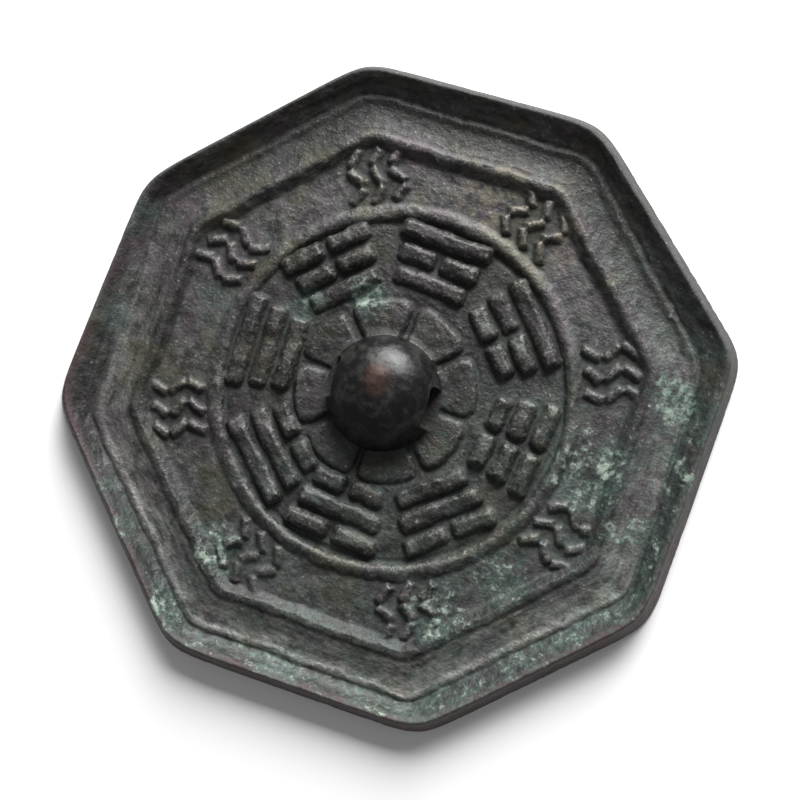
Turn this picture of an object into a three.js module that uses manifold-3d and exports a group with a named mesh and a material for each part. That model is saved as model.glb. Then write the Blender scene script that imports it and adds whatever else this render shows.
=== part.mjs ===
// An old cast bronze mirror, eight-sided, lying with its decorated back up and its polished face down.
// The whole mirror is one casting. Millimetres, +Z up, the polished face at z = 0.
// +X runs along the cord hole in the knob, towards the middle of one side.

import * as THREE from "three";
import { mergeVertices } from "three/addons/utils/BufferGeometryUtils.js";
import Module from "manifold-3d";

const wasm = await Module();
wasm.setup();

// Outline: the mirror measures twice APOTHEM across two opposite sides
const APOTHEM = 54.8;
const CORNER_LOSS = 1.0; // how far a rounded corner falls short of the sharp one
const OUTLINE_STEPS = 80;

// The rim was cut by hand: how far each of its sides stands out, and how far it is turned
const SIDE_OFFSETS = [0.4, 0, -0.3, -1, 0, -0.6, -0.1, 0.7];
const SIDE_SWINGS = [-1.4, 3, 1.4, 0.2, -3.2, -0.8, 0.4, -0.1];

// Rim, from the outer edge inwards
const RIM_HEIGHT = 5.6;
const FOOT_CHAMFER = 0.4;
const RIM_LEAN = 1.8; // the outer wall leans in by this much
const CREST_WIDTH = 0.8;
const CREST_ROUND = 0.3;
const WALL_WIDTH = 3.0; // the inner slope, seen from above
const WALL_HOLLOW = 0.35; // how far that slope sags below a straight one

// Bead line and hollow band between the rim and the inner octagon
const BEAD_WIDTH = 2.0;
const BEAD_RISE = 0.35;
const BAND_WIDTH = 5.2;
const BAND_THICKNESS = 2.2; // metal under the lowest line of the band
const OCTAGON_RISE = 1.5; // crest of the inner octagon above the field
const OCTAGON_TOP = 0.9;
const OCTAGON_DROP = 1.6; // width of the steep step down to the field
const FIELD_THICKNESS = 2.0;

// Ring of rounded section around the trigrams
const RING_RADIUS = 30.8;
const RING_WIDTH = 3.2;
const RING_RISE = 1.0;
const RING_SHOULDER = 0.4; // share of half the width where the crest turns down
const RING_SHOULDER_DROP = 0.16; // share of the rise lost at that line

// Trigrams: three straight lines each, whole or broken
const LINE_PITCH = 4.05;
const LINE_WIDTH = 3.5;
const LINE_TAPER = 0.8; // how far the flanks lean in from foot to top
const LINE_RISE = 1.5;
const LINE_GAP = 0.6; // break in a broken line, at its foot
const INNER_LINE_LENGTH = 13.2;
const OUTER_LINE_LENGTH = 17.0;
const RING_TO_LINE = 4.0; // ring crest to the middle of the outermost line
const TRIGRAM_TURN = -2.7;
const TRIGRAM_SWINGS = [-3.3, -0.6, 0.2, 1.3, 2.7, 3.7, -1.8, -1.9];

// Lines of each trigram from the outermost to the innermost, 1 for whole and 2 for broken
const TRIGRAMS = [
  [2, 2, 2],
  [1, 2, 2],
  [1, 2, 1],
  [2, 2, 1],
  [1, 1, 1],
  [1, 1, 2],
  [2, 1, 2],
  [2, 1, 1],
];

// Knob, its cord hole and the petals round it
const KNOB_RADIUS = 10.0;
const KNOB_RISE = 8.6;
const KNOB_FULLNESS = 2.25; // 2 is a half ellipse, more is squarer
const KNOB_STEPS = 48;
const HOLE_WIDTH = 6.6;
const HOLE_HEIGHT = 4.4;
const HOLE_CORNER = 1.3; // rounding under the roof of the hole
const HOLE_FLOOR_CORNER = 0.6;
const HOLE_SILL = 0.5; // floor of the hole above the field
const HOLE_FLARE = 0.12; // the cord has worn the mouths wider by this share
const HOLE_OVERRUN = 0.5; // how far the cut runs past the knob at each end
const PETAL_COUNT = 8;
const PETAL_REACH = 5.7; // from the foot of the knob to the tip of a petal
const PETAL_RISE = 0.7;
const PETAL_EDGE = 0.45; // rounded edge, seen from above
const PETAL_SPACING = 0.8; // groove between two petals
const PETAL_CORNER = 2.4;
const PETAL_BULGE = 0.6; // how far the middle of its tip stands out
const PETAL_ROOT = 0.8; // it starts this share of the knob's radius from the middle
const PETAL_TURN = 20;

// Blocks of worn strokes in the eight corners of the field
const STROKE_ROWS = 3;
const STROKE_COLUMNS = 3;
const STROKE_LENGTH = 3.9;
const STROKE_WIDTH = 1.9;
const STROKE_TAPER = 0.5;
const STROKE_RISE = 1.0;
const STROKE_ROW_PITCH = 3.3;
const STROKE_COLUMN_PITCH = 3.7;
const STROKE_LEAN = 52; // from its row, the other way in every second row, in degrees
const STROKE_UNEVENNESS = 9; // how far single strokes stray from that lean, in degrees
const STROKE_DISTANCE = 37.6; // middle of a block from the middle of the ring

// Middles of the ornaments, which are not quite on one point
const INNER_OCTAGON_MIDDLE = [0.4, -0.4];
const RING_MIDDLE = [0.9, -0.1];
const TRIGRAM_MIDDLE = [0.5, 0.5];
const PETAL_MIDDLE = [-0.4, -0.5];
const KNOB_MIDDLE = [-0.4, -1.0];

const ROOT_DEPTH = 0.8; // how deep each raised form reaches into the plate
const SHOULDER_RISE = 0.7; // share of a bar's rise below its rounded shoulder
const SHOULDER_TAPER = 0.45; // share of its taper below that shoulder
const SIDES = SIDE_OFFSETS.length;
const DEGREE = Math.PI / 180;

// Closed geometry to solid, with the shared corners welded and the collapsed triangles left out
function toSolid(geometry) {
  geometry.deleteAttribute("normal");
  geometry.deleteAttribute("uv");
  const welded = mergeVertices(geometry, 1e-4);
  const corners = welded.index.array;
  const triVerts = [];
  for (let i = 0; i < corners.length; i += 3) {
    const [a, b, c] = corners.slice(i, i + 3);
    if (a !== b && b !== c && c !== a) triVerts.push(a, b, c);
  }
  return new wasm.Manifold(new wasm.Mesh({
    numProp: 3,
    vertProperties: welded.attributes.position.array,
    triVerts: new Uint32Array(triVerts),
  }));
}

function toGeometry(solid) {
  const { vertProperties, triVerts } = solid.getMesh();
  const geometry = new THREE.BufferGeometry();
  geometry.setAttribute("position", new THREE.BufferAttribute(vertProperties, 3));
  geometry.setIndex(new THREE.BufferAttribute(triVerts, 1));
  geometry.computeVertexNormals();
  return geometry;
}

// A profile of [distance from the axis, height] pairs, turned about +Z
function turned(profile, steps) {
  const points = profile.map(([distance, height]) => new THREE.Vector2(distance, height));
  return new THREE.LatheGeometry(points, steps).rotateX(Math.PI / 2);
}

// Moves every corner of a geometry to where the rule puts it
function reshape(geometry, rule) {
  const position = geometry.attributes.position;
  const corner = new THREE.Vector3();
  for (let i = 0; i < position.count; i++) {
    rule(corner.fromBufferAttribute(position, i));
    position.setXYZ(i, corner.x, corner.y, corner.z);
  }
  return geometry;
}

// Reach of a rounded octagon in one direction, its sides at the given apothem and as uneven as the rim's or even
function octagonReach(azimuth, apothem, uneven) {
  const cornerReach = APOTHEM / Math.cos(Math.PI / SIDES);
  const sharpness = Math.LN2 / -Math.log(1 - CORNER_LOSS / cornerReach);
  let sum = 0;
  for (let side = 0; side < SIDES; side++) {
    const facing = (side * 360 / SIDES + (uneven ? SIDE_SWINGS[side] : 0)) * DEGREE;
    const nearness = Math.cos(azimuth - facing) / (apothem + (uneven ? SIDE_OFFSETS[side] : 0));
    if (nearness > 0) sum += nearness ** sharpness;
  }
  return sum ** (-1 / sharpness);
}

// Plate with rim, bead line, hollow band and the step of the inner octagon
function plate() {
  const crestOuter = APOTHEM - RIM_LEAN;
  const crestInner = crestOuter - CREST_WIDTH;
  const wallFoot = crestInner - WALL_WIDTH;
  const beadInner = wallFoot - BEAD_WIDTH;
  const octagonOuter = beadInner - BAND_WIDTH;
  const octagonInner = octagonOuter - OCTAGON_TOP;
  const dropFoot = octagonInner - OCTAGON_DROP;
  const octagonHeight = FIELD_THICKNESS + OCTAGON_RISE;
  const wallMiddle = (RIM_HEIGHT + BAND_THICKNESS) / 2 - WALL_HOLLOW;
  const bandAt = (share) => BAND_THICKNESS + (octagonHeight - BAND_THICKNESS) * share ** 2;

  const profile = [
    [0, 0],
    [APOTHEM - FOOT_CHAMFER, 0],
    [APOTHEM, FOOT_CHAMFER],
    [crestOuter, RIM_HEIGHT - CREST_ROUND],
    [crestOuter - CREST_WIDTH / 2, RIM_HEIGHT],
    [crestInner, RIM_HEIGHT - CREST_ROUND],
    [crestInner - WALL_WIDTH / 2, wallMiddle],
    [wallFoot, BAND_THICKNESS + BEAD_RISE / 3],
    [wallFoot - BEAD_WIDTH / 2, BAND_THICKNESS + BEAD_RISE],
    [beadInner, BAND_THICKNESS],
    [beadInner - BAND_WIDTH / 3, bandAt(1 / 3)],
    [beadInner - BAND_WIDTH * 2 / 3, bandAt(2 / 3)],
    [octagonOuter, octagonHeight],
    [octagonInner, octagonHeight],
    [dropFoot, FIELD_THICKNESS],
    [0, FIELD_THICKNESS],
  ];

  const [innerX, innerY] = INNER_OCTAGON_MIDDLE;
  return toSolid(reshape(turned(profile, OUTLINE_STEPS), (corner) => {
    const apothem = Math.hypot(corner.x, corner.y);
    const partOfRim = apothem > wallFoot + WALL_WIDTH / 4;
    if (apothem > 0) {
      const azimuth = Math.atan2(corner.y, corner.x);
      const reach = octagonReach(azimuth, apothem, partOfRim);
      corner.x = Math.cos(azimuth) * reach;
      corner.y = Math.sin(azimuth) * reach;
    }
    if (!partOfRim) {
      corner.x += innerX;
      corner.y += innerY;
    }
  }));
}

// Ring of rounded section, rooted in the plate
function ring() {
  const [x, y] = RING_MIDDLE;
  const half = RING_WIDTH / 2;
  const crest = FIELD_THICKNESS + RING_RISE;
  const root = FIELD_THICKNESS - ROOT_DEPTH;
  const profile = [
    [RING_RADIUS - half, root],
    [RING_RADIUS + half, root],
    [RING_RADIUS + half, FIELD_THICKNESS],
    [RING_RADIUS + half * RING_SHOULDER, crest - RING_RISE * RING_SHOULDER_DROP],
    [RING_RADIUS, crest],
    [RING_RADIUS - half * RING_SHOULDER, crest - RING_RISE * RING_SHOULDER_DROP],
    [RING_RADIUS - half, FIELD_THICKNESS],
    [RING_RADIUS - half, root],
  ];
  return toSolid(turned(profile, OUTLINE_STEPS).translate(x, y, 0));
}

// Raised bar along X, its length and width taken at the field, its flanks leaning in to a rounded shoulder
function raisedBar(length, width, rise, taper) {
  const shoulderRise = rise * SHOULDER_RISE;
  const shoulderInset = taper * SHOULDER_TAPER;
  const levels = [
    { height: -ROOT_DEPTH, inset: -shoulderInset * ROOT_DEPTH / shoulderRise },
    { height: shoulderRise, inset: shoulderInset },
    { height: rise, inset: taper },
  ];
  const bar = new THREE.BoxGeometry(length, width, levels.length - 1, 1, 1, levels.length - 1);
  return reshape(bar, (corner) => {
    const { height, inset } = levels[Math.round(corner.z + (levels.length - 1) / 2)];
    corner.x -= Math.sign(corner.x) * inset;
    corner.y -= Math.sign(corner.y) * inset;
    corner.z = FIELD_THICKNESS + height;
  });
}

// One line of a trigram: one bar, or two with a gap between them
function trigramLine(length, parts) {
  const partLength = (length - (parts - 1) * LINE_GAP) / parts;
  return Array.from({ length: parts }, (_, part) => {
    const middle = (part - (parts - 1) / 2) * (partLength + LINE_GAP);
    return raisedBar(partLength, LINE_WIDTH, LINE_RISE, LINE_TAPER).translate(middle, 0, 0);
  });
}

// Lines of all the trigrams, the outermost lying just inside the ring
function trigrams() {
  const [x, y] = TRIGRAM_MIDDLE;
  const bars = [];
  TRIGRAMS.forEach((lines, index) => {
    const azimuth = (index * 360 / TRIGRAMS.length + TRIGRAM_TURN + TRIGRAM_SWINGS[index]) * DEGREE;
    lines.forEach((parts, line) => {
      const distance = RING_RADIUS - RING_TO_LINE - line * LINE_PITCH;
      const share = line / (lines.length - 1);
      const length = THREE.MathUtils.lerp(OUTER_LINE_LENGTH, INNER_LINE_LENGTH, share);
      for (const bar of trigramLine(length, parts)) {
        bars.push(bar.translate(0, -distance, 0).rotateZ(azimuth + Math.PI / 2).translate(x, y, 0));
      }
    });
  });
  return bars.map(toSolid);
}

// One petal: a block with two rounded corners at its tip, lying along +X from inside the knob
function petal() {
  const tip = KNOB_RADIUS + PETAL_REACH;
  const root = KNOB_RADIUS * PETAL_ROOT;
  const halfAngle = Math.PI / PETAL_COUNT;
  const sideAt = (distance) => distance * Math.tan(halfAngle) - PETAL_SPACING / 2 - PETAL_EDGE;
  const shoulder = tip - PETAL_CORNER;
  const bulge = tip + PETAL_BULGE;
  const outline = new THREE.Shape();
  outline.moveTo(root, -sideAt(root));
  outline.lineTo(shoulder, -sideAt(shoulder));
  outline.quadraticCurveTo(tip, -sideAt(tip), tip, -sideAt(shoulder) / 2);
  outline.quadraticCurveTo(bulge, 0, tip, sideAt(shoulder) / 2);
  outline.quadraticCurveTo(tip, sideAt(tip), shoulder, sideAt(shoulder));
  outline.lineTo(root, sideAt(root));
  outline.closePath();
  return new THREE.ExtrudeGeometry(outline, {
    depth: ROOT_DEPTH,
    curveSegments: 3,
    bevelSegments: 2,
    bevelSize: PETAL_EDGE,
    bevelThickness: PETAL_RISE,
  });
}

function petals() {
  const [x, y] = PETAL_MIDDLE;
  return Array.from({ length: PETAL_COUNT }, (_, index) => {
    const azimuth = (index * 360 / PETAL_COUNT + PETAL_TURN) * DEGREE;
    return toSolid(petal().rotateZ(azimuth).translate(x, y, FIELD_THICKNESS - ROOT_DEPTH));
  });
}

// Blocks of short strokes in the corners, row above row in a herringbone
function cornerStrokes() {
  const [x, y] = RING_MIDDLE;
  const strokes = [];
  for (let block = 0; block < SIDES; block++) {
    const azimuth = ((block + 0.5) * 360 / SIDES) * DEGREE;
    for (let row = 0; row < STROKE_ROWS; row++) {
      for (let column = 0; column < STROKE_COLUMNS; column++) {
        const stray = Math.cos(1.7 * block + 2.3 * row + 2.9 * column) * STROKE_UNEVENNESS;
        const lean = ((-1) ** (row + block) * STROKE_LEAN + stray) * DEGREE;
        const outwards = STROKE_DISTANCE + (row - (STROKE_ROWS - 1) / 2) * STROKE_ROW_PITCH;
        const sideways = (column - (STROKE_COLUMNS - 1) / 2) * STROKE_COLUMN_PITCH;
        strokes.push(raisedBar(STROKE_LENGTH, STROKE_WIDTH, STROKE_RISE, STROKE_TAPER)
          .rotateZ(lean)
          .translate(sideways, -outwards, 0)
          .rotateZ(azimuth + Math.PI / 2)
          .translate(x, y, 0));
      }
    }
  }
  return strokes.map(toSolid);
}

// Domed knob, rooted in the plate
function knob() {
  const [x, y] = KNOB_MIDDLE;
  const root = FIELD_THICKNESS - ROOT_DEPTH;
  const levels = 12;
  const profile = [[0, root], [KNOB_RADIUS, root]];
  for (let level = 0; level <= levels; level++) {
    const angle = level / levels * Math.PI / 2;
    const distance = KNOB_RADIUS * Math.cos(angle) ** (2 / KNOB_FULLNESS);
    const rise = KNOB_RISE * Math.sin(angle) ** (2 / KNOB_FULLNESS);
    profile.push([level < levels ? distance : 0, FIELD_THICKNESS + rise]);
  }
  return toSolid(turned(profile, KNOB_STEPS).translate(x, y, 0));
}

// Hole along X through the knob, wider at both mouths
function cordHole() {
  const [x, y] = KNOB_MIDDLE;
  const half = HOLE_WIDTH / 2;
  const section = new THREE.Shape();
  const corners = [
    [half, 0, HOLE_FLOOR_CORNER],
    [half, HOLE_HEIGHT, HOLE_CORNER],
    [-half, HOLE_HEIGHT, HOLE_CORNER],
    [-half, 0, HOLE_FLOOR_CORNER],
  ];
  corners.forEach(([across, up, radius], index) => {
    const centreX = across - Math.sign(across) * radius;
    const centreY = up + (up > 0 ? -radius : radius);
    const start = (index - 1) * Math.PI / 2;
    section.absarc(centreX, centreY, radius, start, start + Math.PI / 2);
  });
  const length = (KNOB_RADIUS + HOLE_OVERRUN) * 2;
  const bore = new THREE.ExtrudeGeometry(section, {
    depth: length,
    steps: 8,
    curveSegments: 5,
    bevelEnabled: false,
  });
  bore.translate(0, 0, -length / 2);
  reshape(bore, (corner) => {
    const growth = 1 + HOLE_FLARE * (Math.abs(corner.z) / KNOB_RADIUS) ** 3;
    corner.x *= growth;
    corner.y *= growth;
  });
  bore.rotateX(Math.PI / 2).rotateZ(Math.PI / 2);
  return toSolid(bore.translate(x, y, FIELD_THICKNESS + HOLE_SILL));
}

function mirrorCasting() {
  const raised = [ring(), ...trigrams(), ...petals(), ...cornerStrokes(), knob()];
  const whole = raised.reduce((sum, form) => sum.add(form), plate());
  return toGeometry(whole.subtract(cordHole()));
}

const oldBronze = new THREE.MeshStandardMaterial({ color: 0x4c4a45, roughness: 0.6, metalness: 0.8 });

const mirror = new THREE.Mesh(mirrorCasting(), oldBronze);
mirror.name = "mirror";

const model = new THREE.Group();
model.add(mirror);

export default model;
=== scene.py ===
# An old cast bronze mirror, eight-sided, lying with its decorated back up: the looks of the CAD part.
# The whole mirror is one casting, so it is one piece, in the CAD part's frame and its sizes in millimetres.

from math import ceil, cos, pi, radians, sin, tan

import bmesh
import bpy
import numpy as np
from mathutils import Matrix, Vector, noise


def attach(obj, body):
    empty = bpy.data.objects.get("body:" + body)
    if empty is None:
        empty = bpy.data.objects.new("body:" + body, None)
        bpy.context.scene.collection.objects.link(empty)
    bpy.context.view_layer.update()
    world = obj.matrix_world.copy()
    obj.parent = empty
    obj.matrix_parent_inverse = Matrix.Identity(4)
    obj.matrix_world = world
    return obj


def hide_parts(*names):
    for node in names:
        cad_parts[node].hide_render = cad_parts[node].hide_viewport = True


MM = 0.001

# Outline: the mirror measures twice APOTHEM across two opposite sides
APOTHEM = 54.8
RIM_CORNER_LOSS = 1.0  # how far a rounded corner falls short of the sharp one, at the rim
OCTAGON_CORNER_LOSS = 0.5  # and at the inner octagon, which is crisper
SIDE_OFFSETS = [0.4, 0, -0.3, -1, 0, -0.6, -0.1, 0.7]
SIDE_SWINGS = [-1.4, 3, 1.4, 0.2, -3.2, -0.8, 0.4, -0.1]
OUTLINE_INSET = 0.05  # keeps the smooth outline inside the CAD part's facets

# Rim, bead line, hollow band and inner octagon
RIM_HEIGHT = 5.6
FOOT_CHAMFER = 0.4
CREST_OUTER = 53.0
CREST_INNER = 52.2
CREST_ROUND = 0.3
WALL_FOOT = 49.2
WALL_HOLLOW = 0.35
BEAD_INNER = 47.2
BEAD_RISE = 0.35
BAND_THICKNESS = 2.2
OCTAGON_OUTER = 42.0
OCTAGON_INNER = 41.1
DROP_FOOT = 39.5
LINE_GROOVES = [(42.7, 0.16, 0.75), (49.1, 0.12, 0.6)]  # apothem, depth and half width of each cut line
OCTAGON_HEIGHT = 3.5
FIELD_THICKNESS = 2.0

# Ring and trigrams
RING_RADIUS = 30.8
RING_RISE = 0.95
RING_INNER_FLANK = 1.3  # steeper than the outer one
RING_OUTER_FLANK = 1.8
RING_GROOVE = 0.2  # depth of the groove along its inner foot
RING_SINK = 0.35  # the ground inside it lies lower by this much
LINE_PITCH = 4.05
LINE_WIDTH = 3.5
LINE_RISE = 1.5
LINE_GAP = 0.6
LINE_FLANK = 1.25
BAR_CORNER = 0.3  # radius of a bar's corners, as a share of its width
OUTER_LINE_LENGTH = 17.0
INNER_LINE_LENGTH = 13.2
RING_TO_LINE = 4.0
TRIGRAM_TURN = -2.7
TRIGRAM_SWINGS = [-3.3, -0.6, 0.2, 1.3, 2.7, 3.7, -1.8, -1.9]
TRIGRAMS = [
    (2, 2, 2),
    (1, 2, 2),
    (1, 2, 1),
    (2, 2, 1),
    (1, 1, 1),
    (1, 1, 2),
    (2, 1, 2),
    (2, 1, 1),
]

# Knob, cord hole and petals
KNOB_RADIUS = 10.0
KNOB_RISE = 8.55
KNOB_FULLNESS = 2.25
HOLE_WIDTH = 6.6
HOLE_HEIGHT = 4.4
HOLE_SILL = 0.5
HOLE_CORNER = 1.3
HOLE_FLOOR_CORNER = 0.6
HOLE_FLARE = 0.12
PETAL_COUNT = 8
PETAL_TIP = 15.7
PETAL_BULGE = 0.6
PETAL_RISE = 0.7
PETAL_FLANK = 0.9
PETAL_SPACING = 0.8
PETAL_GROOVE = 0.18
PETAL_CORNER = 2.4
PETAL_TURN = 20

# Blocks of worn strokes in the eight corners of the field, row above row in a herringbone
STROKE_ROWS = 3
STROKE_COLUMNS = 3
STROKE_LENGTH = 3.9
STROKE_WIDTH = 1.9
STROKE_RISE = 1.0
STROKE_FLANK = 0.7
STROKE_ROW_PITCH = 3.3
STROKE_COLUMN_PITCH = 3.7
STROKE_LEAN = 52
STROKE_UNEVENNESS = 9
STROKE_DISTANCE = 37.6

# Middles of the ornaments, which are not quite on one point
INNER_OCTAGON_MIDDLE = (0.4, -0.4)
RING_MIDDLE = (0.9, -0.1)
TRIGRAM_MIDDLE = (0.5, 0.5)
PETAL_MIDDLE = (-0.4, -0.5)
KNOB_MIDDLE = (-0.4, -1.0)

# The cast surface: swells, lumps, grain and pits, and how far hand-cut lines stray and are worn
SWELL = 10
SWELL_DEPTH = 0.1
LUMP = 2.6
LUMP_DEPTH = 0.085
GRAIN = 0.9
GRAIN_DEPTH = 0.055
PIT_SPACING = 2.4
PIT_WIDTH = 0.32  # share of that spacing
PIT_DEPTH = 0.16
PITTED_PATCH = 11
BUMP_DEPTH = 0.3  # of the grain that is finer than the mesh
WOBBLE = 0.28
FINE_WOBBLE = 0.2
MOST_WORN = 0.45  # share of its height that the ornament has lost where it is most worn
KNOB_FILLET = 0.45  # how high the metal and dirt climb round the knob's foot
KNOB_FILLET_WIDTH = 1.2
WEAR_PATCH = 9
WORN_GLINT_RISE = 0.45  # what stands this far above its surroundings is rubbed pale, with painted glints, broadly and close by
FINE_WORN_GLINT_RISE = 0.09
DIRT_AND_SHADE_DEPTH = 0.35  # and what lies this far below them is full of dirt, with painted shade in the hollows
FINE_DIRT_AND_SHADE_DEPTH = 0.07
WANDER = 7  # the lines stray over lengths like this, and finely over the shorter one
FINE_WANDER = 1.8

# Where the finish changes: x, y, radius and strength of each soft patch, and the side with the most green
VERDIGRIS_SIDE = -45
VERDIGRIS_PATCHES = [
    (-8.5, 14.1, 3.6, 0.85),
    (-18.3, 9.3, 3.5, 0.6),
    (-19.5, -35.9, 6.0, 0.66),
    (20.4, -33.2, 6.5, 0.68),
    (37.0, -2.4, 8.0, 0.72),
    (46.6, 13.2, 5.0, 0.85),
    (51.0, 0.5, 3.5, 0.75),
    (45.7, -10.4, 4.5, 0.65),
    (28.0, -24.0, 6.0, 0.6),
    (-38.2, -40.0, 5.0, 0.8),
    (-26.5, -50.0, 6.0, 0.75),
    (-44.5, -33.0, 6.0, 0.6),
    (-53.0, 16.5, 5.0, 0.55),
    (-50.8, -2.3, 4.0, 0.5),
    (-33.5, 5.0, 5.0, 0.42),
]
PURPLE_PATCHES = [
    (44.8, 5.5, 5.0, 0.8),
    (2.4, 13.2, 5.0, 0.8),
    (2.0, 25.6, 8.0, 0.8),
    (48.0, -8.0, 4.0, 0.6),
    (12.0, 4.0, 8.0, 0.6),
    (36.0, 12.0, 6.0, 0.5),
    (-36.0, 8.0, 9.0, 0.5),
    (-50.0, -22.0, 5.0, 0.7),
]
OCHRE_PATCHES = [(7.8, 37.7, 7.0, 0.8), (19.0, 33.0, 5.0, 0.7), (24.0, -12.0, 4.0, 0.5)]
RUBBED_PATCHES = [(-1.3, 0.9, 2.1, 0.9), (-0.8, -0.7, 1.6, 0.7)]
PALE_SIDE = -72  # a grey bloom lies on the hollow band on this side
WINDOW_SIDE = 85  # and on this one, towards the window, the rim's shadow is painted on it darkest
STREAK_TURN = 8

# How fine the mesh is before it is thinned out where it is flat
KNOB_LEVELS = 16
BAND_LEVELS = 6
EIGHTHS = 8
STEPS_PER_EIGHTH = 90
PITCH = 0.2
UNDERSIDE_PITCH = 4.0
MOST_TRIANGLES = 196_000
SECTION_ROUNDS = 3  # of smoothing for the section's corners
MOUTH_ROUNDS = 6  # and for the edges of the cord hole

# The studio, in metres: a white paper under one soft window, and the photograph's view from almost above,
# leaning a little towards the cord hole's open side
PAPER_HALF_WIDTH = 0.85
FLOOR_GAP = 0.02 * MM  # keeps the paper clear of the face that lies on it
WINDOW_WATTS = 17
WINDOW_SIZE = 0.5
WINDOW_DISTANCE = 0.8
WINDOW_AZIMUTH = 91
WINDOW_ELEVATION = 30
FILL_STRENGTH = 0.22
AIM = Vector((2.405, -1.115, 0)) * MM
VIEW_DISTANCE = 230 * MM
VIEW_LEAN = 7.5
VIEW_LEAN_AZIMUTH = -16.66
VIEW_ROLL = 18.34
LENS = 59.83

SIDES = len(SIDE_OFFSETS)


def linear(hex_colour):
    """An sRGB colour such as "#8a8f84" as linear red, green, blue and alpha."""
    shares = [int(hex_colour[i : i + 2], 16) / 255 for i in (1, 3, 5)]
    return (*(s / 12.92 if s <= 0.04045 else ((s + 0.055) / 1.055) ** 2.4 for s in shares), 1)


def smooth_share(share):
    """0 to 1 with soft ends, from a share that may run past both."""
    share = np.clip(share, 0, 1)
    return share * share * (3 - 2 * share)


def rounded(share):
    """0 to 1, steep at the foot and flat at the top as a worn flank is, from a share that may pass both."""
    share = np.clip(share, 0, 1)
    return share * (2 - share)


def mixed(a, b, share):
    return a + (b - a) * share


def octagon_reach(azimuth, apothem):
    """Reach of the rounded octagon with sides at the given apothem, even inside and hand-cut at the rim."""
    rimward = smooth_share((apothem - WALL_FOOT) / (CREST_INNER - WALL_FOOT))
    corner_loss = mixed(OCTAGON_CORNER_LOSS, RIM_CORNER_LOSS, rimward)
    sharpness = np.log(2) / -np.log(1 - corner_loss * cos(pi / SIDES) / APOTHEM)
    total = np.zeros_like(azimuth)
    for side in range(SIDES):
        facing = radians(side * 360 / SIDES) + radians(SIDE_SWINGS[side]) * rimward
        nearness = np.cos(azimuth - facing) / (apothem + SIDE_OFFSETS[side] * rimward)
        total += np.maximum(nearness, 0) ** sharpness
    return total ** (-1 / sharpness)


def section():
    """Corners of the mirror's section, from the top of the knob out over the rim and back underneath."""
    corners = []
    for level in range(KNOB_LEVELS, -1, -1):
        angle = level / KNOB_LEVELS * pi / 2
        distance = 0 if level == KNOB_LEVELS else KNOB_RADIUS * cos(angle) ** (2 / KNOB_FULLNESS)
        corners.append((distance, FIELD_THICKNESS + KNOB_RISE * sin(angle) ** (2 / KNOB_FULLNESS)))
    corners += [(DROP_FOOT, FIELD_THICKNESS), (OCTAGON_INNER, OCTAGON_HEIGHT)]
    for level in range(BAND_LEVELS, -1, -1):
        share = level / BAND_LEVELS
        corners.append((
            mixed(BEAD_INNER, OCTAGON_OUTER, share),
            mixed(BAND_THICKNESS, OCTAGON_HEIGHT, share**2),
        ))
    corners += [
        ((BEAD_INNER + WALL_FOOT) / 2, BAND_THICKNESS + BEAD_RISE),
        (WALL_FOOT, BAND_THICKNESS + BEAD_RISE / 3),
        ((WALL_FOOT + CREST_INNER) / 2, (RIM_HEIGHT + BAND_THICKNESS) / 2 - WALL_HOLLOW),
        (CREST_INNER, RIM_HEIGHT - CREST_ROUND),
        ((CREST_INNER + CREST_OUTER) / 2, RIM_HEIGHT),
        (CREST_OUTER, RIM_HEIGHT - CREST_ROUND),
        (APOTHEM, FOOT_CHAMFER),
        (APOTHEM - FOOT_CHAMFER, 0),
        (0, 0),
    ]
    return corners


def turned_blank():
    """The section turned once round the axis: a round blank whose rings become the octagon's lines."""
    blank = bmesh.new()
    chain = [blank.verts.new((distance, 0, height)) for distance, height in section()]
    edges = [blank.edges.new(ends) for ends in zip(chain, chain[1:])]
    for edge in edges:
        underside = edge.verts[0].co.z == edge.verts[1].co.z == 0
        cuts = ceil(edge.calc_length() / (UNDERSIDE_PITCH if underside else PITCH)) - 1
        if cuts > 0:
            bmesh.ops.subdivide_edges(blank, edges=[edge], cuts=cuts)
    worn_round = [v for v in blank.verts if v.co.z > 0 and v.co.x > KNOB_RADIUS * 0.9]
    for _ in range(SECTION_ROUNDS):
        bmesh.ops.smooth_vert(blank, verts=worn_round, factor=0.5, use_axis_x=True, use_axis_z=True)
    around = {"cent": (0, 0, 0), "axis": (0, 0, 1)}
    eighth = 2 * pi / EIGHTHS
    profile = blank.verts[:] + blank.edges[:]
    bmesh.ops.spin(blank, geom=profile, angle=eighth, steps=STEPS_PER_EIGHTH, **around)
    wedge = blank.verts[:] + blank.edges[:] + blank.faces[:]
    rest = {"angle": 2 * pi - eighth, "steps": EIGHTHS - 1, "use_duplicate": True}
    bmesh.ops.spin(blank, geom=wedge, **rest, **around)
    bmesh.ops.remove_doubles(blank, verts=blank.verts, dist=1e-4)
    bmesh.ops.recalc_face_normals(blank, faces=blank.faces)
    mesh = bpy.data.meshes.new("turned_blank")
    blank.to_mesh(mesh)
    blank.free()
    return mesh


def bar(along, across, length, width, rise, flank):
    """Height of a raised bar with rounded ends that lies along its first axis."""
    corner = width * BAR_CORNER
    past_end = np.abs(along) - (length / 2 - corner)
    past_side = np.abs(across) - (width / 2 - corner)
    outside = np.hypot(np.maximum(past_end, 0), np.maximum(past_side, 0))
    distance = outside + np.minimum(np.maximum(past_end, past_side), 0) - corner
    return rise * rounded(-distance / flank)


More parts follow.
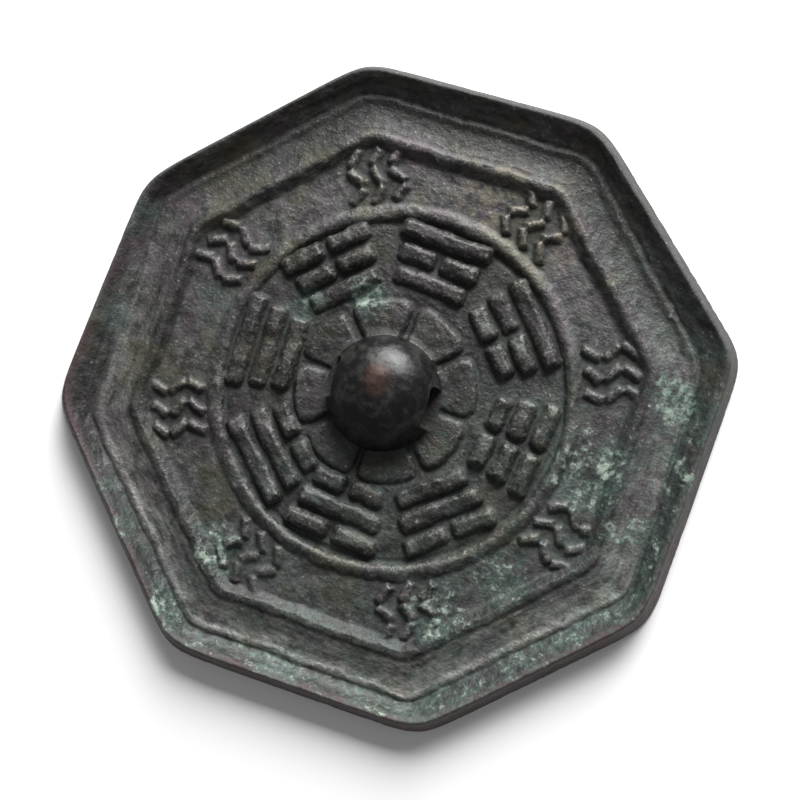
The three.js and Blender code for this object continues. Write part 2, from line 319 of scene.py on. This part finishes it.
def bars():
    """Each bar of the ornament: where it lies, its length, width and rise, and the width of its flank."""
    line_section = (LINE_WIDTH, LINE_RISE, LINE_FLANK)
    stroke_section = (STROKE_WIDTH, STROKE_RISE, STROKE_FLANK)
    for index, lines in enumerate(TRIGRAMS):
        turn = radians(index * 360 / len(TRIGRAMS) + TRIGRAM_TURN + TRIGRAM_SWINGS[index])
        for line, parts in enumerate(lines):
            outwards = RING_RADIUS - RING_TO_LINE - line * LINE_PITCH
            length = mixed(OUTER_LINE_LENGTH, INNER_LINE_LENGTH, line / (len(lines) - 1))
            part_length = (length - (parts - 1) * LINE_GAP) / parts
            for part in range(parts):
                sideways = (part - (parts - 1) / 2) * (part_length + LINE_GAP)
                yield TRIGRAM_MIDDLE, turn, outwards, sideways, 0, part_length, *line_section
    for block in range(SIDES):
        turn = radians((block + 0.5) * 360 / SIDES)
        for row in range(STROKE_ROWS):
            for column in range(STROKE_COLUMNS):
                stray = cos(1.7 * block + 2.3 * row + 2.9 * column) * STROKE_UNEVENNESS
                lean = radians((-1) ** (row + block) * STROKE_LEAN + stray)
                outwards = STROKE_DISTANCE + (row - (STROKE_ROWS - 1) / 2) * STROKE_ROW_PITCH
                sideways = (column - (STROKE_COLUMNS - 1) / 2) * STROKE_COLUMN_PITCH
                yield RING_MIDDLE, turn, outwards, sideways, lean, STROKE_LENGTH, *stroke_section


def relief(x, y):
    """Height of the ornament above the field at each place, below nought in its grooves."""
    from_ring = np.hypot(x - RING_MIDDLE[0], y - RING_MIDDLE[1]) - RING_RADIUS
    down_flank = np.where(from_ring < 0, -from_ring / RING_INNER_FLANK, from_ring / RING_OUTER_FLANK)
    height = RING_RISE * rounded(1 - down_flank)
    groove = RING_GROOVE * smooth_share(1 - np.abs(from_ring + RING_INNER_FLANK + 0.4) / 0.8)

    for middle, turn, outwards, sideways, lean, length, width, rise, flank in bars():
        # the block's own axes: tangential and radial, as seen from the middle
        tangent = (-sin(turn), cos(turn))
        radial = (cos(turn), sin(turn))
        centre_x = middle[0] + radial[0] * outwards + tangent[0] * sideways
        centre_y = middle[1] + radial[1] * outwards + tangent[1] * sideways
        near = np.hypot(x - centre_x, y - centre_y) < (length + width) / 2
        off_x, off_y = x[near] - centre_x, y[near] - centre_y
        direction = turn + pi / 2 + lean
        along = off_x * cos(direction) + off_y * sin(direction)
        across = off_y * cos(direction) - off_x * sin(direction)
        height[near] = np.maximum(height[near], bar(along, across, length, width, rise, flank))

    inside = np.full_like(x, -PETAL_TIP)
    half = pi / PETAL_COUNT
    for petal in range(PETAL_COUNT):
        turn = radians(petal * 360 / PETAL_COUNT + PETAL_TURN)
        off_x, off_y = x - PETAL_MIDDLE[0], y - PETAL_MIDDLE[1]
        along = off_x * cos(turn) + off_y * sin(turn)
        across = off_y * cos(turn) - off_x * sin(turn)
        from_side = (along * tan(half) - PETAL_SPACING / 2 - np.abs(across)) * cos(half)
        from_tip = PETAL_TIP + PETAL_BULGE / 2 - np.hypot(along, across)
        near_corner = np.maximum(PETAL_CORNER - np.abs(from_side - from_tip), 0) / PETAL_CORNER
        inside = np.maximum(inside, np.minimum(from_side, from_tip) - near_corner**2 * PETAL_CORNER / 4)
    height = np.maximum(height, PETAL_RISE * rounded(inside / PETAL_FLANK))
    groove = np.maximum(groove, PETAL_GROOVE * smooth_share(1 - np.abs(inside + 0.25) / 0.6))
    sunk = groove + RING_SINK * smooth_share(-from_ring / RING_INNER_FLANK)
    return height - sunk * (1 - np.clip(height / PETAL_RISE, 0, 1))


def cast_noise(points, lump, octaves):
    """Smooth noise about -1 to 1 at each point, its lumps that many millimetres across."""
    scale = 1 / lump
    return np.array([noise.fractal(Vector(p) * scale, 0.8, 2.1, octaves) for p in points])


def read_places(mesh):
    places = np.empty(len(mesh.vertices) * 3)
    mesh.vertices.foreach_get("co", places)
    return places.reshape(-1, 3)


def write_places(mesh, places):
    mesh.vertices.foreach_set("co", places.ravel())
    mesh.update()


def shape_back(mesh):
    """Makes the round blank the octagonal plate with its ornament, worn as use leaves it."""
    places = read_places(mesh)
    apothem = np.hypot(places[:, 0], places[:, 1])
    azimuth = np.arctan2(places[:, 1], places[:, 0])
    height = places[:, 2]
    top = height > FOOT_CHAMFER

    # rings near the knob stay round, and those from the inner octagon outwards are eight-sided
    round_end = RING_RADIUS + RING_OUTER_FLANK * 2
    squared = smooth_share((apothem - round_end) / (DROP_FOOT - 0.5 - round_end))
    eight_sided = octagon_reach(azimuth, np.maximum(apothem, KNOB_RADIUS) - OUTLINE_INSET)
    reach = mixed(apothem, eight_sided, squared)
    reach = np.where(top | (apothem > RING_RADIUS), reach, mixed(apothem, eight_sided, apothem / APOTHEM))
    stations = [
        KNOB_RADIUS + 1,
        RING_RADIUS - RING_INNER_FLANK * 2,
        round_end,
        DROP_FOOT,
        WALL_FOOT,
        CREST_INNER,
    ]
    middles = [KNOB_MIDDLE, RING_MIDDLE, RING_MIDDLE, INNER_OCTAGON_MIDDLE, INNER_OCTAGON_MIDDLE, (0, 0)]
    middle_x, middle_y = (np.interp(apothem, stations, [m[axis] for m in middles]) for axis in (0, 1))
    x = np.cos(azimuth) * reach + np.where(top, middle_x, 0)
    y = np.sin(azimuth) * reach + np.where(top, middle_y, 0)

    for line, depth, half_width in LINE_GROOVES:
        height -= depth * smooth_share(1 - np.abs(apothem - line) / half_width) * top

    # corner strokes run a little way up the inner octagon's slope
    field = top & (apothem < OCTAGON_INNER)
    x_field, y_field = x[field], y[field]
    raised = relief(x_field, y_field)
    wear = cast_noise(np.stack([x_field, y_field, x_field * 0 + 230], axis=1), WEAR_PATCH, 3)
    raised *= 1 - MOST_WORN * smooth_share(0.5 + 0.8 * wear)
    from_knob = np.hypot(x_field - KNOB_MIDDLE[0], y_field - KNOB_MIDDLE[1])
    up_knob = KNOB_RADIUS + KNOB_FILLET_WIDTH - from_knob
    fillet = KNOB_FILLET * np.clip(up_knob / KNOB_FILLET_WIDTH, 0, 1) ** 2
    blank = height[field]
    height[field] = np.maximum(blank, FIELD_THICKNESS + np.maximum(raised, 0) + fillet)
    height[field] += np.where(blank < FIELD_THICKNESS + 0.1, np.minimum(raised, 0), 0)
    write_places(mesh, np.stack([x, y, height], axis=1))


def cord_hole():
    """The hole along X through the knob, wider at both mouths, as a closed solid to cut with."""
    hole = bmesh.new()
    bmesh.ops.create_cube(hole, size=1)
    length = KNOB_RADIUS * 2 + 1
    bmesh.ops.scale(hole, verts=hole.verts, vec=(length, HOLE_WIDTH, HOLE_HEIGHT))
    bmesh.ops.translate(hole, verts=hole.verts, vec=(0, 0, HOLE_HEIGHT / 2))
    lengthwise = [e for e in hole.edges if abs(e.verts[0].co.x - e.verts[1].co.x) > 1]
    roof = [e for e in lengthwise if e.verts[0].co.z > 1]
    floor = [e for e in lengthwise if e.verts[0].co.z < 1]
    rounding = {"profile": 0.5, "affect": "EDGES", "material": -1}
    bmesh.ops.bevel(hole, geom=roof, offset=HOLE_CORNER, segments=8, **rounding)
    floor = [e for e in floor if e.is_valid]
    bmesh.ops.bevel(hole, geom=floor, offset=HOLE_FLOOR_CORNER, segments=4, **rounding)
    lengthwise = [e for e in hole.edges if abs(e.verts[0].co.x - e.verts[1].co.x) > 1]
    bmesh.ops.subdivide_edges(hole, edges=lengthwise, cuts=40, use_grid_fill=True)
    for vertex in hole.verts:
        growth = 1 + HOLE_FLARE * (abs(vertex.co.x) / KNOB_RADIUS) ** 3
        vertex.co.y *= growth
        vertex.co.z *= growth
    bmesh.ops.translate(hole, verts=hole.verts, vec=(*KNOB_MIDDLE, FIELD_THICKNESS + HOLE_SILL))
    bmesh.ops.recalc_face_normals(hole, faces=hole.faces)
    mesh = bpy.data.meshes.new("cord_hole")
    hole.to_mesh(mesh)
    hole.free()
    return mesh


def with_modifier(mesh, kind, **settings):
    """The mesh as one modifier leaves it."""
    carrier = bpy.data.objects.new("carrier", mesh)
    bpy.context.scene.collection.objects.link(carrier)
    modifier = carrier.modifiers.new("change", kind)
    for name, value in settings.items():
        setattr(modifier, name, value)
    finished = bpy.data.meshes.new_from_object(carrier.evaluated_get(bpy.context.evaluated_depsgraph_get()))
    bpy.data.objects.remove(carrier)
    return finished


def bored(mesh):
    """The mesh with the cord hole cut through its knob, and the mouths worn round."""
    cutter = bpy.data.objects.new("cord_hole", cord_hole())
    bpy.context.scene.collection.objects.link(cutter)
    mesh = with_modifier(mesh, "BOOLEAN", operation="DIFFERENCE", solver="MANIFOLD", object=cutter)
    bpy.data.objects.remove(cutter)

    casting = bmesh.new()
    casting.from_mesh(mesh)
    middle = Vector((*KNOB_MIDDLE, 0))
    edges = [
        e
        for e in casting.edges
        if (e.verts[0].co - middle).xy.length < KNOB_RADIUS + 1
        and e.verts[0].co.z > FIELD_THICKNESS + 0.2
        and e.is_manifold
        and e.calc_face_angle() > radians(35)
    ]
    mouth = {v for e in edges for v in e.verts}
    for _ in range(3):
        mouth |= {e.other_vert(v) for v in mouth for e in v.link_edges}
    whole = {"use_axis_x": True, "use_axis_y": True, "use_axis_z": True}
    for _ in range(MOUTH_ROUNDS):
        bmesh.ops.smooth_vert(casting, verts=list(mouth), factor=0.5, **whole)
    casting.to_mesh(mesh)
    casting.free()
    return mesh


def averaged(values, edges, rounds):
    """The values smoothed over each vertex's neighbours, round after round."""
    here, there = np.concatenate([edges, edges[:, ::-1]]).T
    neighbours = np.bincount(here, minlength=len(values))
    for _ in range(rounds):
        values = (values + np.bincount(here, values[there], len(values)) / neighbours) / 2
    return values


def octagon_through(x, y, middle, apothem):
    """Apothem at which an octagon shaped as at the given one would pass through each place."""
    off_x, off_y = x - middle[0], y - middle[1]
    reach = octagon_reach(np.arctan2(off_y, off_x), np.full_like(x, apothem))
    return apothem * np.hypot(off_x, off_y) / reach


def apothem_at(x, y):
    """Apothem of the mirror's own octagonal line through each place: how far out towards the rim it lies."""
    inner = octagon_through(x, y, INNER_OCTAGON_MIDDLE, OCTAGON_INNER)
    outer = octagon_through(x, y, (0, 0), APOTHEM)
    return mixed(inner, outer, smooth_share((outer - WALL_FOOT) / (CREST_INNER - WALL_FOOT)))


def in_patches(x, y, patches):
    """0 to 1: how far each place lies inside soft round patches given as (x, y, radius, strength)."""
    cover = np.zeros_like(x)
    for middle_x, middle_y, radius, strength in patches:
        distance = np.hypot(x - middle_x, y - middle_y)
        cover = np.maximum(cover, strength * smooth_share(1.5 - distance / radius))
    return cover


def roughen(mesh):
    """Gives the casting its uneven lines, lumps, grain and pits."""
    places = read_places(mesh)
    normals = np.empty(len(mesh.vertices) * 3)
    mesh.vertex_normals.foreach_get("vector", normals)
    normals = normals.reshape(-1, 3)
    x, y, height = places.T
    off_knob = smooth_share((np.hypot(x - KNOB_MIDDLE[0], y - KNOB_MIDDLE[1]) - KNOB_RADIUS + 1) / 2)
    apothem = apothem_at(x, y)
    inside_rim = smooth_share((CREST_OUTER - apothem) / 2) * smooth_share(height - 1)

    # each noise is read at its own shift; the outline and the face that it lies on stay where they are
    depth = SWELL_DEPTH * cast_noise(places + 20, SWELL, 2)
    depth += LUMP_DEPTH * cast_noise(places, LUMP, 4) * mixed(0.4, 1, off_knob)
    depth += GRAIN_DEPTH * cast_noise(places + 40, GRAIN, 3) * mixed(0.15, 1, off_knob)
    pit_middle = np.array([noise.voronoi(Vector(p) / PIT_SPACING)[0][0] for p in places])
    pitted = smooth_share(cast_noise(places + 60, PITTED_PATCH, 2) + 0.45) * off_knob
    depth -= PIT_DEPTH * smooth_share(1 - pit_middle / PIT_WIDTH) * pitted
    depth = mixed(np.minimum(depth, 0), depth, inside_rim) * smooth_share(height / FOOT_CHAMFER)

    uneven = WOBBLE * off_knob * inside_rim
    fine = FINE_WOBBLE * off_knob * inside_rim
    for axis, shift in ((0, 90), (1, 170)):
        stray = uneven * cast_noise(places + shift, WANDER, 2)
        places[:, axis] += stray + fine * cast_noise(places + shift + 20, FINE_WANDER, 2)
    write_places(mesh, places + normals * depth[:, None])


def note_wear(mesh):
    """Writes down at each vertex how worn, dirty, corroded or rubbed it is, and where painted shade, a
    painted shadow and painted glints go.
    """
    places = read_places(mesh)
    x, y, height = places.T
    edges = np.empty(len(mesh.edges) * 2, np.int32)
    mesh.edges.foreach_get("vertices", edges)
    edges = edges.reshape(-1, 2)
    near_height = averaged(height, edges, 6)
    standing = height - averaged(near_height, edges, 34)
    finely_standing = height - near_height
    apothem = apothem_at(x, y)
    azimuth = np.arctan2(y, x)

    from_knob = np.hypot(x - KNOB_MIDDLE[0], y - KNOB_MIDDLE[1])
    on_knob = smooth_share((KNOB_RADIUS + 0.4 - from_knob) / 0.5)
    off_knob = smooth_share((from_knob - KNOB_RADIUS - 0.5) / 2)
    # a painted shadow round the knob's foot
    knob_foot_shadow = smooth_share(1 - (from_knob - KNOB_RADIUS) / 2) * (1 - on_knob)
    along_hole = np.abs(x - KNOB_MIDDLE[0])
    growth = 1 + HOLE_FLARE * (along_hole / KNOB_RADIUS) ** 3
    hole_floor = FIELD_THICKNESS + HOLE_SILL
    in_hole = (np.abs(y - KNOB_MIDDLE[1]) < HOLE_WIDTH / 2 * growth + 0.3) & (height > hole_floor - 0.4)
    in_hole &= height < hole_floor + HOLE_HEIGHT * growth + 0.1
    in_hole &= along_hole < KNOB_RADIUS + 1

    damp_side = smooth_share(0.45 + 0.75 * np.cos(azimuth - radians(VERDIGRIS_SIDE)))
    pale_side = smooth_share(0.6 + 0.75 * np.cos(azimuth - radians(PALE_SIDE)))
    # the rim's shadow is painted on the hollow band on the window side
    rim_shadowed = smooth_share(1.3 * np.cos(azimuth - radians(WINDOW_SIDE)) - 0.2)
    inside_crest = smooth_share((CREST_OUTER - apothem) / 0.8)
    on_wall = smooth_share((apothem - WALL_FOOT + 0.8) / 1) * inside_crest
    on_band = smooth_share((apothem - OCTAGON_OUTER) / 2) * inside_crest
    verdigris = 0.1 + damp_side * (0.2 + 0.15 * on_band + 0.12 * on_wall)
    verdigris = np.maximum(verdigris, in_patches(x, y, VERDIGRIS_PATCHES)) * (1 - on_knob)
    verdigris *= 1 - 0.7 * smooth_share((apothem - CREST_OUTER) / 0.6)
    on_step = smooth_share(1.5 - np.abs(apothem - (DROP_FOOT + OCTAGON_OUTER) / 2) / 1.2)
    crest_and_out = smooth_share((apothem - CREST_INNER + 0.9) / 0.9) * (height > 0)
    proud = np.maximum(standing / WORN_GLINT_RISE, finely_standing / FINE_WORN_GLINT_RISE)
    sunk = np.maximum(-standing / DIRT_AND_SHADE_DEPTH, -finely_standing / FINE_DIRT_AND_SHADE_DEPTH)
    inside_ring = smooth_share((RING_RADIUS + 1 - np.hypot(x - RING_MIDDLE[0], y - RING_MIDDLE[1])) / 3)

    marks = {
        # pale rubbed edges where the relief stands proud, partly painted glints
        "worn": proud * (1 - 0.7 * on_step) * off_knob * (1 - crest_and_out),
        # dirt, and painted shade in the hollows and the cord hole, and a painted shadow round the knob's foot
        "dirt_and_shade": np.maximum.reduce([sunk, knob_foot_shadow * 0.8, in_hole]),
        # a darker soot tone, partly painted shade inside the ring, with the rim's shadow painted on the band
        # towards the window
        "soot_and_shade": np.maximum.reduce([
            inside_ring * 0.75,
            on_band * rim_shadowed * (1 - 0.9 * on_wall),
            on_wall * pale_side * 0.85,
            on_step * (0.4 + 0.5 * pale_side),
            (1 - on_band) * pale_side * 0.4,
        ]),
        "verdigris": verdigris,
        "purple": in_patches(x, y, PURPLE_PATCHES),
        "ochre": in_patches(x, y, OCHRE_PATCHES),
        "pale": on_band * pale_side * (1 - 0.85 * on_wall),
        "banded": on_band,
        "outer_wall": crest_and_out,
        "sunward": smooth_share(0.5 + np.cos(azimuth - radians(WINDOW_SIDE))),
        "knob": on_knob,
        "rubbed": in_patches(x, y, RUBBED_PATCHES) * on_knob,
    }
    # the polished face underneath has none of them
    for name, values in marks.items():
        layer = mesh.attributes.new(name, "FLOAT", "POINT")
        layer.data.foreach_set("value", np.clip(values, 0, 1) * (height > 0.01))
    # a place that runs quickly across the rim and slowly along it, for streaks that follow the sides
    around = STREAK_TURN * np.cos(azimuth), STREAK_TURN * np.sin(azimuth)
    across_rim = np.stack([apothem, *around], axis=1) * MM
    mesh.attributes.new("across_rim", "FLOAT_VECTOR", "POINT").data.foreach_set("vector", across_rim.ravel())


def casting():
    mesh = turned_blank()
    shape_back(mesh)
    mesh = bored(mesh)
    roughen(mesh)
    note_wear(mesh)
    mesh.transform(Matrix.Scale(MM, 4))
    triangles = sum(len(p.vertices) - 2 for p in mesh.polygons)
    mesh = with_modifier(mesh, "DECIMATE", ratio=MOST_TRIANGLES / triangles)
    places = read_places(mesh)
    places[:, 2] = np.maximum(places[:, 2], 0)
    write_places(mesh, places)
    for face in mesh.polygons:
        face.use_smooth = face.normal.z > -0.99
    piece = bpy.data.objects.new("mirror_casting", mesh)
    bpy.context.scene.collection.objects.link(piece)
    return piece


def add_node(tree, kind, inputs=None, **settings):
    """A node with its settings, and its inputs set or linked by name or number."""
    node = tree.nodes.new(kind)
    for name, value in settings.items():
        setattr(node, name, value)
    for name, value in (inputs or {}).items():
        if isinstance(value, bpy.types.NodeSocket):
            tree.links.new(value, node.inputs[name])
        else:
            node.inputs[name].default_value = value
    return node


def per_metre(size):
    """Pattern scale on Object coordinates for marks that many millimetres across."""
    return 1 / (size * MM)


def old_bronze():
    """Cast bronze under a dark brown-grey patina, matt and grainy, with pale green verdigris on one side."""
    material = bpy.data.materials.new("patinated_cast_bronze")
    material.use_nodes = True
    tree = material.node_tree
    tree.nodes.clear()
    place = add_node(tree, "ShaderNodeTexCoord").outputs["Object"]

    def mark(name):
        return add_node(tree, "ShaderNodeAttribute", attribute_name=name).outputs["Fac"]

    def cloud(size, detail, shift=0.0, at=place):
        moved = add_node(tree, "ShaderNodeVectorMath", {0: at, 1: (shift, shift, shift)}, operation="ADD")
        inputs = {"Vector": moved.outputs[0], "Scale": per_metre(size), "Detail": detail, "Roughness": 0.6}
        return add_node(tree, "ShaderNodeTexNoise", inputs).outputs["Fac"]

    def ramp(value, low, high, start=0.0, end=1.0):
        inputs = {"Value": value, "From Min": low, "From Max": high, "To Min": start, "To Max": end}
        return add_node(tree, "ShaderNodeMapRange", inputs, interpolation_type="SMOOTHSTEP").outputs["Result"]

    def combined(operation, a, b):
        return add_node(tree, "ShaderNodeMath", {0: a, 1: b}, operation=operation, use_clamp=True).outputs[0]

    def layered(below, above, share):
        return add_node(tree, "ShaderNodeMix", {0: share, 6: below, 7: above}, data_type="RGBA").outputs[2]

    blotch = cloud(9, 3)
    mottle = cloud(2.4, 5, 0.3)
    grain = cloud(0.55, 3, 0.7)
    crumb = cloud(1.0, 4, 1.1)
    speckle = combined("ADD", combined("MULTIPLY", mottle, 0.72), combined("MULTIPLY", grain, 0.28))
    across_rim = add_node(tree, "ShaderNodeAttribute", attribute_name="across_rim").outputs["Vector"]
    streak = cloud(0.9, 3, 0.0, across_rim)
    streaked = combined("MULTIPLY", mark("banded"), 0.45)
    speckle = add_node(tree, "ShaderNodeMix", {0: streaked, 2: speckle, 3: streak}).outputs[0]

    colour = layered(linear("#242323"), linear("#5a5857"), ramp(speckle, 0.36, 0.64))
    colour = layered(colour, linear("#4f4937"), ramp(blotch, 0.5, 0.62, 0, 0.6))
    colour = layered(colour, linear("#50424b"), ramp(blotch, 0.5, 0.38, 0, 0.6))
    bloom = ramp(cloud(5, 3, 0.5), 0.38, 0.58, 0.35, 0.95)
    bloom = combined("MULTIPLY", ramp(speckle, 0.38, 0.6, 0.1, 1), bloom)
    colour = layered(colour, linear("#7f7e7a"), combined("MULTIPLY", mark("pale"), bloom))
    colour = layered(colour, linear("#392e34"), combined("MULTIPLY", mark("purple"), ramp(mottle, 0.3, 0.55)))
    colour = layered(colour, linear("#625a4c"), combined("MULTIPLY", mark("ochre"), ramp(mottle, 0.4, 0.6)))
    # soot tone, partly painted shade inside the ring, and the rim's shadow painted on the band towards the
    # window
    soot_and_shade = combined("MULTIPLY", mark("soot_and_shade"), ramp(mottle, 0.7, 0.3, 0.7, 1))
    colour = layered(colour, linear("#1d1b1a"), soot_and_shade)
    # dirt, and painted shade in the hollows and the cord hole, and a painted shadow round the knob's foot
    dirt_and_shade = combined("MULTIPLY", mark("dirt_and_shade"), ramp(mottle, 0.7, 0.3, 0.6, 1))
    colour = layered(colour, linear("#131110"), dirt_and_shade)
    wall_colour = layered(linear("#3f2a2e"), linear("#2b2928"), mark("sunward"))
    outer_wall = combined("MULTIPLY", mark("outer_wall"), ramp(mottle, 0.6, 0.4, 0.6, 0.95))
    colour = layered(colour, wall_colour, outer_wall)

    # verdigris is a thin grey-green film, and a pale crust where its cloud rises above what the place allows
    film = combined("MULTIPLY", mark("verdigris"), ramp(crumb, 0.35, 0.65, 0.3, 1))
    film = combined("MULTIPLY", film, ramp(cloud(6, 3, 1.9), 0.4, 0.58, 0.35, 1))
    colour = layered(colour, linear("#556a62"), film)
    green_cloud = combined("ADD", combined("MULTIPLY", mottle, 0.5), combined("MULTIPLY", crumb, 0.5))
    allowed = combined("SUBTRACT", 0.78, combined("MULTIPLY", mark("verdigris"), 0.42))
    green = ramp(combined("SUBTRACT", green_cloud, allowed), 0.0, 0.13)
    green_colour = layered(linear("#4f675d"), linear("#97a598"), ramp(speckle, 0.4, 0.62))
    colour = layered(colour, green_colour, combined("MULTIPLY", green, 0.85))

    # painted glints on single pale grains, and rubbed edges that carry painted glints too
    painted_glint = combined("MULTIPLY", ramp(grain, 0.63, 0.71, 0, 0.6), ramp(mottle, 0.45, 0.62, 0.15, 1))
    painted_glint = combined("MULTIPLY", painted_glint, combined("SUBTRACT", 1, mark("dirt_and_shade")))
    colour = layered(colour, linear("#aeada7"), painted_glint)
    # rubbed pale edges, partly painted glints
    rubbed_edge_and_glint = combined("MULTIPLY", mark("worn"), ramp(grain, 0.47, 0.64, 0, 0.6))
    colour = layered(colour, linear("#6f6c67"), rubbed_edge_and_glint)

    # the knob is handled most: near black and smooth, greyer where it corroded, brown where it is rubbed bare
    knob = combined("MULTIPLY", mark("knob"), combined("SUBTRACT", 1, mark("dirt_and_shade")))
    knob_colour = layered(linear("#161515"), linear("#353935"), ramp(mottle, 0.45, 0.68, 0, 0.8))
    brown = combined("MULTIPLY", mark("rubbed"), ramp(speckle, 0.3, 0.6, 0.25, 0.85))
    knob_colour = layered(knob_colour, linear("#554038"), brown)
    colour = layered(colour, knob_colour, knob)

    crusted = combined("MAXIMUM", green, mark("dirt_and_shade"))
    dull = combined("MAXIMUM", crusted, combined("MULTIPLY", mark("outer_wall"), 0.6))
    metal = combined("SUBTRACT", 0.4, combined("MULTIPLY", dull, 0.4))
    rough = combined("ADD", ramp(speckle, 0.35, 0.65, 0.42, 0.6), combined("MULTIPLY", dull, 0.25))
    knob_rough = ramp(mottle, 0.35, 0.65, 0.3, 0.46)
    rough = add_node(tree, "ShaderNodeMix", {0: knob, 2: rough, 3: knob_rough}).outputs[0]

    relief_cloud = combined("ADD", combined("MULTIPLY", grain, 0.5), combined("MULTIPLY", crumb, 0.5))
    strength = ramp(knob, 0, 1, 0.9, 0.2)
    inputs = {"Height": relief_cloud, "Distance": BUMP_DEPTH * MM, "Strength": strength}
    bump = add_node(tree, "ShaderNodeBump", inputs)
    inputs = {"Base Color": colour, "Metallic": metal, "Roughness": rough, "Normal": bump.outputs["Normal"]}
    finish = add_node(tree, "ShaderNodeBsdfPrincipled", inputs)
    add_node(tree, "ShaderNodeOutputMaterial", {"Surface": finish.outputs["BSDF"]})
    return material


def studio():
    """A pale floor under one large soft light, low from +Y, with a weak even fill."""
    floor_mesh = bpy.data.meshes.new("floor")
    plane = bmesh.new()
    bmesh.ops.create_grid(plane, x_segments=1, y_segments=1, size=PAPER_HALF_WIDTH)
    plane.to_mesh(floor_mesh)
    plane.free()
    floor = bpy.data.objects.new("floor", floor_mesh)
    bpy.context.scene.collection.objects.link(floor)
    paper = bpy.data.materials.new("matt_white_paper")
    paper.use_nodes = True
    finish = paper.node_tree.nodes["Principled BSDF"]
    finish.inputs["Base Color"].default_value = linear("#f6f6f6")
    finish.inputs["Roughness"].default_value = 0.9
    finish.inputs["Specular IOR Level"].default_value = 0.0
    floor_mesh.materials.append(paper)
    floor.location.z = -FLOOR_GAP

    window = bpy.data.lights.new("window", "AREA")
    window.energy = WINDOW_WATTS
    window.size = WINDOW_SIZE
    azimuth, elevation = radians(WINDOW_AZIMUTH), radians(WINDOW_ELEVATION)
    towards = Vector((cos(azimuth) * cos(elevation), sin(azimuth) * cos(elevation), sin(elevation)))
    lamp = bpy.data.objects.new("window", window)
    lamp.location = towards * WINDOW_DISTANCE
    lamp.rotation_euler = towards.to_track_quat("Z", "Y").to_euler()
    bpy.context.scene.collection.objects.link(lamp)

    world = bpy.data.worlds.new("pale_room")
    bpy.context.scene.world = world
    world.use_nodes = True
    tree = world.node_tree
    tree.nodes.clear()
    fill = add_node(tree, "ShaderNodeBackground", {"Color": linear("#ffffff"), "Strength": FILL_STRENGTH})
    seen = add_node(tree, "ShaderNodeBackground", {"Color": linear("#ffffff"), "Strength": 1.0})
    rays = add_node(tree, "ShaderNodeLightPath")
    both = add_node(
        tree,
        "ShaderNodeMixShader",
        {0: rays.outputs["Is Camera Ray"], 1: fill.outputs[0], 2: seen.outputs[0]},
    )
    add_node(tree, "ShaderNodeOutputWorld", {"Surface": both.outputs[0]})
    bpy.context.scene.view_settings.view_transform = "Standard"


def photo_camera():
    lean, azimuth = radians(VIEW_LEAN), radians(VIEW_LEAN_AZIMUTH)
    towards = Vector((sin(lean) * cos(azimuth), sin(lean) * sin(azimuth), cos(lean)))
    upright = Vector((0, 0, 1)).rotation_difference(towards).to_matrix()
    turn = upright @ Matrix.Rotation(radians(VIEW_ROLL), 3, "Z")
    lens = bpy.data.cameras.new("photo_camera")
    lens.lens = LENS
    lens.sensor_width = 36
    lens.clip_start = 0.01
    camera = bpy.data.objects.new("photo_camera", lens)
    camera.matrix_world = Matrix.Translation(AIM + towards * VIEW_DISTANCE) @ turn.to_4x4()
    bpy.context.scene.collection.objects.link(camera)
    bpy.context.scene.camera = camera


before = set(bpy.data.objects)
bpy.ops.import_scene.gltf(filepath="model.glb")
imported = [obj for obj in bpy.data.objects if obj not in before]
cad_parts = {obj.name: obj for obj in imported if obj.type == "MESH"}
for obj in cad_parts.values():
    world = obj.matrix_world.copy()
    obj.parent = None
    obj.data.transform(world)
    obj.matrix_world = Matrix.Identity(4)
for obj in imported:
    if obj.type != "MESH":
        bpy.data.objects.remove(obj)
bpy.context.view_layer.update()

mirror = casting()
mirror.data.materials.clear()
mirror.data.materials.append(old_bronze())
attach(mirror, "root")
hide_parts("mirror")

studio()
photo_camera()
